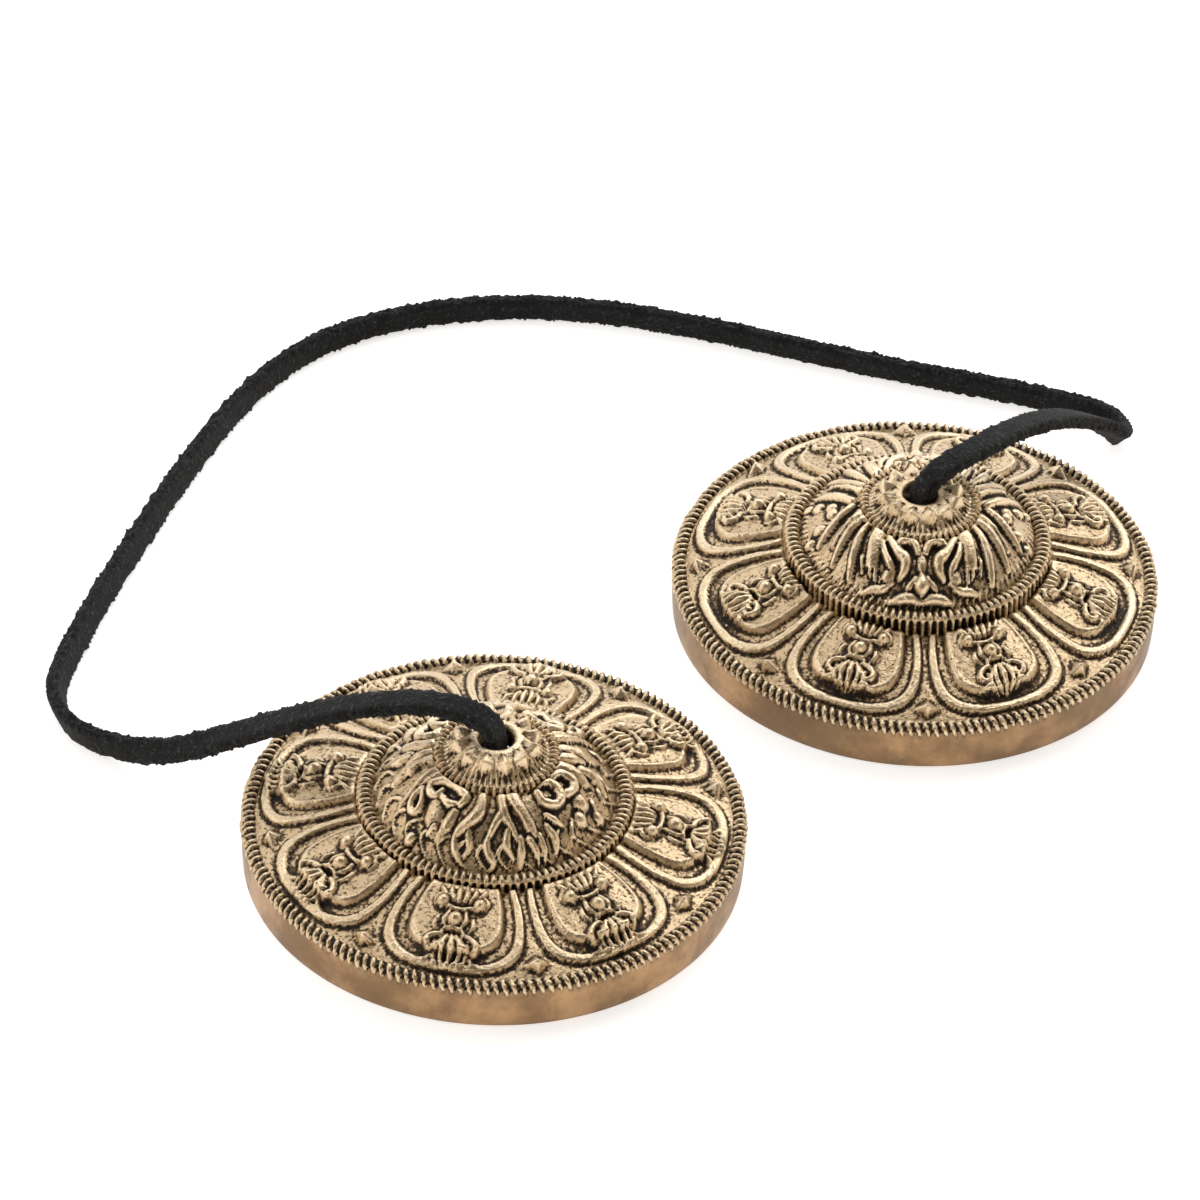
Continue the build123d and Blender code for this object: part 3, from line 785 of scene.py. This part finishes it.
def reliefField(zones, radius, angle, each):
    field = np.zeros(np.broadcast_shapes(radius.shape, angle.shape))
    angle = np.broadcast_to(angle, field.shape)
    radius = np.broadcast_to(radius, field.shape)
    for zone in ("rim", "foot", "collar", "flange", "dome", "crown"):
        rows = zones == zone
        if zone in ropeRings:
            along = np.linspace(-1, 1, rows.sum())[:, None]
            field[rows] = ropeRelief(along, angle[rows], ropeRings[zone])
        elif zone == "flange":
            field[rows] = flangeRelief(radius[rows], angle[rows], each)
        elif zone == "dome":
            field[rows] = domeRelief(radius[rows], angle[rows], each["dome"])
        else:
            field[rows] = crownRelief(radius[rows], angle[rows])
    return field


def wearAndPaintedLightField(zones, field, each):
    s = wearAndPaintedLightReach
    near, wide = softened(field, s["near"]), softened(field, s["wide"])
    pits = np.clip((near - field) / s["pit"], 0, 1) ** s["pitPower"]
    hollows = np.clip((wide - field) / s["hollow"], 0, 1)
    edges = np.clip((field - near) / s["edge"], 0, 1)
    proud = np.clip((field - wide) / s["proud"], 0, 1)
    zoneWeights = np.array([zoneWearAndPaintedLight.get(zone, (0, 0, 0, 0)) for zone in zones])
    # darker in pits and hollows: patina and painted shade
    depth = pits * zoneWeights[:, :1] + hollows * zoneWeights[:, 1:2]
    # paler where rubbed, on raised edges and over whole zones: real wear and painted highlight
    wearAndHighlight = edges * s["edgeRub"] + zoneWeights[:, 2:3] + proud * zoneWeights[:, 3:] + each["paler"]
    return depth, wearAndHighlight


def stitch(above, below):  # faces between two rings of vertex numbers, equal or two to one
    if len(above) == len(below):
        return [(above[i - 1], above[i], below[i], below[i - 1]) for i in range(len(above))]
    if len(above) < len(below):
        return [face[::-1] for face in stitch(below, above)]
    faces = []
    for i in range(len(below)):
        first, middle, last = above[2 * i - 2], above[2 * i - 1], above[2 * i]
        faces += [(first, middle, below[i - 1]), (middle, last, below[i]), (middle, below[i], below[i - 1])]
    return faces


def buildCymbal(each):
    profile = cymbalProfile(each)
    zones = np.concatenate([[zone] * len(rows) for zone, _, rows in profile])
    counts = np.concatenate([[count] * len(rows) for _, count, rows in profile])
    rows = np.concatenate([rows for _, _, rows in profile])
    slope = np.roll(rows, -1, 0) - np.roll(rows, 1, 0)
    outward = np.stack([slope[:, 1], -slope[:, 0]], 1)
    outward /= np.linalg.norm(outward, axis=1)[:, None]
    columns = cymbalShape["columns"]
    angle = np.arange(columns)[None, :] * 2 * math.pi / columns
    field = reliefField(zones, rows[:, :1], angle, each)
    carved = np.isin(zones, ("rim", "flange", "foot", "dome", "collar", "crown"))[:, None]
    uneven = softened(np.random.default_rng(each["seed"]).normal(0, 1, field.shape), 1)
    field = field + carved * cymbalShape["castNoise"] * uneven / uneven.std()
    depth, wearAndHighlight = wearAndPaintedLightField(zones, field, each)
    bulge = np.where(zones == "wall", cymbalShape["wallBulge"], 0) * np.sin(
        np.pi * np.clip(rows[:, 1] / cymbalShape["rimHeight"], 0, 1))
    points, rings, depths, wearAndHighlights = [], [], [], []
    for i, count in enumerate(counts):
        step = columns // count
        picked = slice(0, columns, step)
        reach = field[i, picked] + bulge[i]
        r = rows[i, 0] + outward[i, 0] * reach
        z = rows[i, 1] + outward[i, 1] * reach
        turn = angle[0, picked]
        rings.append(range(len(points), len(points) + count))
        points += list(zip(r * np.cos(turn), r * np.sin(turn), z))
        depths += list(depth[i, picked] * carved[i])
        # the lip rings take one fixed paleness: lace wear and painted highlight
        wearAndHighlights += [each["lipRub"]] * count if zones[i] == "lip" else list(wearAndHighlight[i, picked] * carved[i])
    faces, finishes = [], []
    for i, ring in enumerate(rings):
        made = stitch(ring, rings[(i + 1) % len(rings)])
        faces += made
        finish = {"wall": 1, "hollow": 2}.get(zones[i], 0)
        finishes += [finish] * len(made)
    low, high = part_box(each["node"])
    middle = np.array([(low.x + high.x) / 2, (low.y + high.y) / 2, low.z])
    mesh = bpy.data.meshes.new(each["name"])
    mesh.from_pydata((np.array(points) * mm + middle).tolist(), [], faces)
    for finish in bronzeFinishes:
        mesh.materials.append(finish)
    mesh.polygons.foreach_set("material_index", finishes)
    mesh.polygons.foreach_set("use_smooth", [True] * len(faces))
    # the first value holds patina and painted shade; the second holds rubbed wear and painted highlight
    for name, values in (("depth", depths), ("wearAndHighlight", wearAndHighlights)):
        mesh.attributes.new(name, "FLOAT", "POINT").data.foreach_set("value", values)
    mesh.update()
    cymbal = bpy.data.objects.new(each["name"], mesh)
    bpy.context.scene.collection.objects.link(cymbal)
    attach(cymbal, each["body"])
    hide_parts(each["node"])
    print(each["name"], "made with", len(points), "points and", len(faces), "faces")
    return cymbal


for each in cymbals.values():
    buildCymbal(each)


# Suede lace
laceShape = {
    "width": 3.4,
    "thickness": 2.0,
    "ringStep": 0.3,  # along the lace
    "sides": 30,
    "nap": 0.03,  # roughness of its skin
    "edgeNap": 0.15,  # and of its cut edges
    "seed": 5,
}
stripSection = {
    "squareness": 5,
    "edgeFrom": (0.75, 0.98),  # share of the half width where the cut edge begins
    "finePluck": 0.8,
    "softPluck": 1.4,
    "tuck": 0.97,
    "offFloor": 0.02,
}
leftArch = [(-38, 0, 17.2), (-38, 0, 20.5), (-38.9, 1.9, 23.3), (-42.4, 8.6, 23.4), (-46.8, 16.4, 20.0),
            (-51.2, 23.9, 15.4), (-55.2, 30.6, 10.4), (-58.3, 36.1, 6.4), (-60.9, 41.2, 3.4)]
loopOnTable = [(-64.3, 50.3), (-63.8, 56.3), (-60.7, 61.4), (-53.9, 65.9), (-43, 72.3), (-28.4, 79.9),
               (-13.4, 87.2), (1.0, 92.8), (13.6, 94.6), (26.2, 91.8), (38.2, 85.0), (49, 74.8),
               (57.6, 62.0), (64.8, 49.2), (72, 36.6), (79.6, 25), (84.6, 16.2), (86.8, 10.4), (84.9, 5.9)]
rightArch = [(38, 0, 17.2), (38, 0, 20.5), (40.2, -0.6, 23.3), (47.8, -0.8, 23.6), (57.2, 0.6, 21.3),
             (66.5, 2.5, 17.0), (75.0, 4.3, 11.0), (79.9, 5.3, 6.9)]
tableHeight = 1.75  # middle of the lace where it lies
leftCut = (-62.6, 45.75, 2.575)  # where the two ends meet the loop
rightCut = (81.55, 5.5, 5.23)
laceRoute = leftArch + [(x, y, tableHeight) for x, y in loopOnTable] + rightArch[::-1]
laceLean = [  # share of the whole lace, and degrees off its edge there
    (0.0, 80), (0.06, 78), (0.13, 62), (0.18, 8), (0.22, -24), (0.3, -32), (0.4, -20), (0.5, -8), (0.7, 2),
    (0.79, -2), (0.805, -16), (0.822, -38), (0.84, -64), (0.86, -82), (0.9, -95), (0.95, -100), (1.0, -98),
]


def smoothRoute(name, points):
    curve = bpy.data.curves.new(name, "CURVE")
    curve.dimensions = "3D"
    curve.resolution_u = 24
    spline = curve.splines.new("NURBS")
    spline.points.add(len(points) - 1)
    for point, place in zip(spline.points, points):
        point.co = (*[value * mm for value in place], 1)
    spline.order_u = 3
    spline.use_endpoint_u = True
    holder = bpy.data.objects.new(name, curve)
    mesh = bpy.data.meshes.new_from_object(holder)
    line = np.array([vertex.co for vertex in mesh.vertices]) / mm
    bpy.data.objects.remove(holder)
    bpy.data.meshes.remove(mesh)
    bpy.data.curves.remove(curve)
    return line


def evenly(line, step):
    reach = np.concatenate([[0], np.cumsum(np.linalg.norm(np.diff(line, axis=0), axis=1))])
    count = int(round(reach[-1] / step))
    marks = np.linspace(0, reach[-1], count + 1)
    return np.stack([np.interp(marks, reach, line[:, k]) for k in range(3)], 1)


suedeTones = {"lace": (0.013, 0.0158, 0.0185, 1), "knot": (0.012, 0.013, 0.014, 1),
              "worn": (0.004, 0.004, 0.005, 1), "fibre": (0.068, 0.084, 0.096, 1)}


def suedeGroup():
    group, given, result = newGroup("suedeNap", {"Tint": suedeTones["lace"]},
                                    {"Color": "NodeSocketColor", "Height": "NodeSocketFloat"})
    where = addNode(group, "ShaderNodeTexCoord").outputs["Object"]
    patches = noise(group, where, 260, 5, 0.65)
    fibre = noise(group, where, 1900, 4, 0.7)
    shade = blendColour(group, spread(group, patches, 0.35, 0.7), given["Tint"], suedeTones["worn"])
    shade = blendColour(group, spread(group, fibre, 0.54, 0.7), shade, suedeTones["fibre"])
    feed(group, result["Color"], shade)
    feed(group, result["Height"], calc(group, "MULTIPLY_ADD", patches, 0.5, fibre))
    return group


suedeNap = suedeGroup()


def suede(name, tint):
    material, tree, shader = newMaterial(name)
    made = placeGroup(tree, suedeNap, Tint=tint)
    feed(tree, shader.inputs["Base Color"], made["Color"])
    shader.inputs["Roughness"].default_value = 0.92
    shader.inputs["Specular IOR Level"].default_value = 0.25
    shader.inputs["Sheen Weight"].default_value = 0.12
    shader.inputs["Sheen Roughness"].default_value = 0.5
    feed(tree, shader.inputs["Normal"], bumpFrom(tree, made["Height"], 1.0, 0.0004))
    return material


laceSuede = suede("laceSuede", suedeTones["lace"])
knotSuede = suede("knotSuede", suedeTones["knot"])


def stripRings(line, leans, shape, draws):  # rings of points of a rough flat strip along a line
    heading = np.gradient(line, axis=0)
    heading /= np.linalg.norm(heading, axis=1)[:, None]
    upright = np.array([0, 0, 1.0]) - heading * heading[:, 2:]
    steady = np.nonzero(np.linalg.norm(upright, axis=1) > 0.15)[0]
    upright[:steady[0]] = upright[steady[0]]
    upright[steady[-1] + 1:] = upright[steady[-1]]
    upright -= heading * (upright * heading).sum(1)[:, None]
    upright /= np.linalg.norm(upright, axis=1)[:, None]
    lean = np.radians(leans)[:, None]
    across = upright * np.cos(lean) + np.cross(heading, upright) * np.sin(lean)
    through = np.cross(heading, across)
    turn = np.arange(shape["sides"]) / shape["sides"] * 2 * math.pi
    s, power = stripSection, stripSection["squareness"]
    square = (np.abs(np.cos(turn)) ** power + np.abs(np.sin(turn)) ** power) ** (-1 / power)
    wide = shape["width"] / 2 * square * np.cos(turn)
    deep = shape["thickness"] / 2 * square * np.sin(turn)
    edge = ease(*s["edgeFrom"], np.abs(np.cos(turn) * square))
    rough = draws.normal(0, s["finePluck"], (len(line), shape["sides"]))
    rough = rough + softened(draws.normal(0, s["softPluck"], rough.shape), 1)
    nap = shape["nap"] + (shape["edgeNap"] - shape["nap"]) * edge
    reach = s["tuck"] + rough * nap / (shape["width"] / 2)
    points = (line[:, None] + across[:, None] * (wide * reach)[..., None]
              + through[:, None] * (deep * reach)[..., None])
    points[..., 2] = np.maximum(points[..., 2], s["offFloor"])
    return points


def softPiece(name, strips, finish):
    points, faces, smooth = [], [], []
    for rings in strips:
        count, sides = rings.shape[:2]
        number = (len(points) + np.arange(count * sides)).reshape(count, sides).tolist()
        faces += [(number[i][j - 1], number[i][j], number[i + 1][j], number[i + 1][j - 1])
                  for i in range(count - 1) for j in range(sides)]
        faces += [number[0][::-1], number[-1]]
        smooth += [True] * (count - 1) * sides + [False, False]  # its two cut ends are flat
        points += (rings * mm).reshape(-1, 3).tolist()
    mesh = bpy.data.meshes.new(name)
    mesh.from_pydata(points, [], faces)
    mesh.polygons.foreach_set("use_smooth", smooth)
    mesh.materials.append(finish)
    mesh.update()
    piece = bpy.data.objects.new(name, mesh)
    bpy.context.scene.collection.objects.link(piece)
    return piece


def nearest(line, place):
    return int(np.linalg.norm(line - np.array(place), axis=1).argmin())


def lengthOf(line):
    return float(np.linalg.norm(np.diff(line, axis=0), axis=1).sum())


def layLace():
    line = evenly(smoothRoute("laceRoute", laceRoute), laceShape["ringStep"])
    shares = np.linspace(0, 1, len(line))
    leans = softened(np.interp(shares, *zip(*laceLean))[:, None], 25)[:, 0]
    rings = stripRings(line, leans, laceShape, np.random.default_rng(laceShape["seed"]))
    left, right = nearest(line, leftCut), nearest(line, rightCut)
    stretches = {
        "laceEndLeft": slice(0, left + 1),
        "laceLoop": slice(left, right + 1),
        "laceEndRight": slice(right, len(line)),
    }
    made = {}
    for name, stretch in stretches.items():
        made[name] = softPiece(name, [rings[stretch]], laceSuede), line[stretch]
        print(name, "is", round(lengthOf(line[stretch]), 1), "mm long")
    return made


lacePieces = layLace()
laceEnds = (("laceEndLeft", "lace_end_left", "left_end"), ("laceEndRight", "lace_end_right", "right_end"))
for name, node, body in laceEnds:
    piece, line = lacePieces[name]
    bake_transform(piece)
    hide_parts(node)
piece, line = lacePieces["laceLoop"]
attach(piece, "lace")
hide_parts("lace_loop")
print("lace laid")


# Stopper knots under the seats, drawn tight
knotShape = {
    "width": 2.4,
    "thickness": 1.9,
    "ringStep": 0.25,
    "sides": 24,
    "nap": 0.015,
    "edgeNap": 0.04,
    "spread": 1.1,  # the loops reach three times this far from the middle
    "rise": 2.15,
    "middle": 13.9,  # height above the table
    "tail": [(1.8, 0.3, 13.4), (4.4, 0.4, 13.0), (7.2, 0, 12.4)],  # from the middle of the hole
    "coilLean": 0.0,  # degrees off its edge
    "tailLean": 70.0,
    "seed": 8,
}


def tieKnot(name, node, body):
    s = knotShape
    low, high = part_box(node)
    middle = np.array([low.x + (high.y - low.y) / 2, (low.y + high.y) / 2, 0]) / mm
    turn = np.linspace(0, 2 * math.pi, 200)
    loops = np.stack([s["spread"] * (np.sin(turn) + 2 * np.sin(2 * turn)),
                      s["spread"] * (np.cos(turn) - 2 * np.cos(2 * turn)),
                      s["middle"] - s["rise"] * np.sin(3 * turn)], 1)
    draws = np.random.default_rng(s["seed"])
    coil = evenly(loops + middle, s["ringStep"])
    tail = evenly(bendThrough(s["tail"], 8) + middle, s["ringStep"])
    strips = [stripRings(line, np.full(len(line), lean), s, draws)
              for line, lean in ((coil, s["coilLean"]), (tail, s["tailLean"]))]
    knot = softPiece(name, strips, knotSuede)
    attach(knot, body)
    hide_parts(node)


tieKnot("knotLeft", "knot_left", "left_end")
tieKnot("knotRight", "knot_right", "right_end")
print("knots tied")


# Stage: pale floor, soft light
stageLook = {
    "floorSize": 12.0,  # metres
    "floorColour": (0.82, 0.82, 0.82, 1),
    "glow": 0.68,
    "brightSide": (0.6, 0.61, 0.5),  # the studio is bright this way and dim the other way
    "brightEdge": (0.38, 0.87),
    "brightSky": 1.5,
    "dimSky": 0.15,
    "dimTint": (1.0, 0.84, 0.66, 1),
    "horizonSky": 1.7,
    "horizonTop": 0.5,
    "lamps": {"keyLamp": ((0.9, 0.2, 0.95), 0.9, 3.5), "fillLamp": ((-0.75, 0.6, 0.75), 0.7, 3.2)},
    "lampAim": (0, 0.02, 0),
}


def addFloor(look):
    half = look["floorSize"] / 2
    mesh = bpy.data.meshes.new("floor")
    corners = [(-half, -half, 0), (half, -half, 0), (half, half, 0), (-half, half, 0)]
    mesh.from_pydata(corners, [], [(0, 1, 2, 3)])
    floor = bpy.data.objects.new("floor", mesh)
    bpy.context.scene.collection.objects.link(floor)
    material, tree, shader = newMaterial("paleFloor")
    shader.inputs["Base Color"].default_value = look["floorColour"]
    shader.inputs["Roughness"].default_value = 0.9
    shader.inputs["Specular IOR Level"].default_value = 0.1
    rays = addNode(tree, "ShaderNodeLightPath").outputs
    seen = calc(tree, "MAXIMUM", rays["Is Camera Ray"], rays["Is Glossy Ray"])
    seen = calc(tree, "MAXIMUM", seen, rays["Is Transmission Ray"])
    glow = addNode(tree, "ShaderNodeEmission")
    feed(tree, glow.inputs["Strength"], calc(tree, "MULTIPLY", seen, look["glow"]))
    both = addNode(tree, "ShaderNodeAddShader")
    tree.links.new(shader.outputs[0], both.inputs[0])
    tree.links.new(glow.outputs[0], both.inputs[1])
    clear = addNode(tree, "ShaderNodeBsdfTransparent")
    mixed = addNode(tree, "ShaderNodeMixShader")
    feed(tree, mixed.inputs[0], addNode(tree, "ShaderNodeNewGeometry").outputs["Backfacing"])
    tree.links.new(both.outputs[0], mixed.inputs[1])
    tree.links.new(clear.outputs[0], mixed.inputs[2])
    tree.links.new(mixed.outputs[0], tree.nodes["Material Output"].inputs["Surface"])
    mesh.materials.append(material)


def addLamp(name, place, aim, size, power):
    data = bpy.data.lights.new(name, "AREA")
    data.shape = "DISK"
    data.size = size
    data.energy = power
    lamp = bpy.data.objects.new(name, data)
    lamp.location = place
    lamp.rotation_mode = "QUATERNION"
    lamp.rotation_quaternion = (Vector(aim) - Vector(place)).to_track_quat("-Z", "Y")
    bpy.context.scene.collection.objects.link(lamp)


def addStudio(look):
    world = bpy.data.worlds.new("studio")
    world.use_nodes = True
    bpy.context.scene.world = world
    tree = world.node_tree
    sky = tree.nodes["Background"]
    facing = addNode(tree, "ShaderNodeVectorMath", operation="DOT_PRODUCT")
    around = addNode(tree, "ShaderNodeTexCoord").outputs["Generated"]
    tree.links.new(around, facing.inputs[0])
    facing.inputs[1].default_value = Vector(look["brightSide"]).normalized()
    level = spread(tree, facing.outputs["Value"], *look["brightEdge"], look["dimSky"], look["brightSky"])
    height = addNode(tree, "ShaderNodeSeparateXYZ")
    tree.links.new(around, height.inputs[0])
    horizon = spread(tree, height.outputs["Z"], 0.0, look["horizonTop"], look["horizonSky"], 0.0)
    level = calc(tree, "MAXIMUM", level, horizon)
    seen = addNode(tree, "ShaderNodeLightPath").outputs["Is Camera Ray"]
    mixed = addNode(tree, "ShaderNodeMix", data_type="FLOAT")
    feed(tree, mixed.inputs[0], seen)
    feed(tree, mixed.inputs[2], level)
    feed(tree, mixed.inputs[3], 1.0)
    feed(tree, sky.inputs["Strength"], mixed.outputs[0])
    side = spread(tree, facing.outputs["Value"], *look["brightEdge"])
    tint = blendColour(tree, calc(tree, "MAXIMUM", side, seen), look["dimTint"], (1, 1, 1, 1))
    feed(tree, sky.inputs["Color"], tint)
    for name, (place, size, power) in look["lamps"].items():
        addLamp(name, place, look["lampAim"], size, power)


addFloor(stageLook)
addStudio(stageLook)
bpy.context.scene.view_settings.view_transform = "Standard"
print("stage set")
